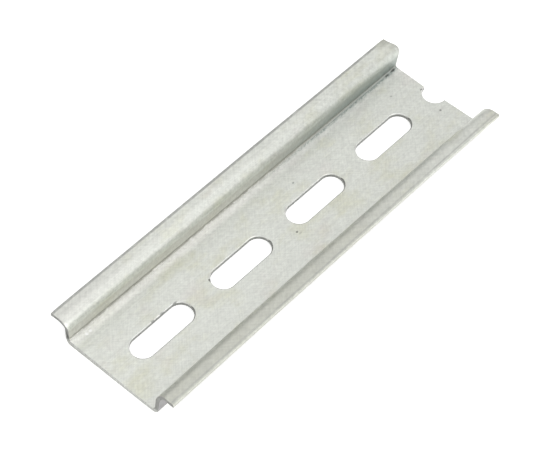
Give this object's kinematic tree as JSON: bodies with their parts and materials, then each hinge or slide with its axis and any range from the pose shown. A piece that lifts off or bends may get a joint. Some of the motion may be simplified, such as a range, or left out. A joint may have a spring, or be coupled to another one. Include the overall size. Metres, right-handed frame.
{
  "type": "slotted din mounting rail",
  "caption": "Short length of slotted top-hat rail in zinc-plated steel, with a flat web, two upright walls and outward lips that terminal blocks clip on.",
  "frame": {"origin": "middle of the footprint, on the underside of the web, which is the face that lies on the panel", "axes": "+X along the rail towards the notched end, +Y across it towards the left lip as seen from the plain end looking along +X, +Z out of the panel towards the lips"},
  "size_m": [0.11, 0.035, 0.0075],
  "materials": {
    "zinc_plated_steel": "satin pale grey zinc plating over bent mild steel strip"
  },
  "bodies": {
    "root": {"mounting_rail": "zinc_plated_steel"}
  },
  "joints": []
}
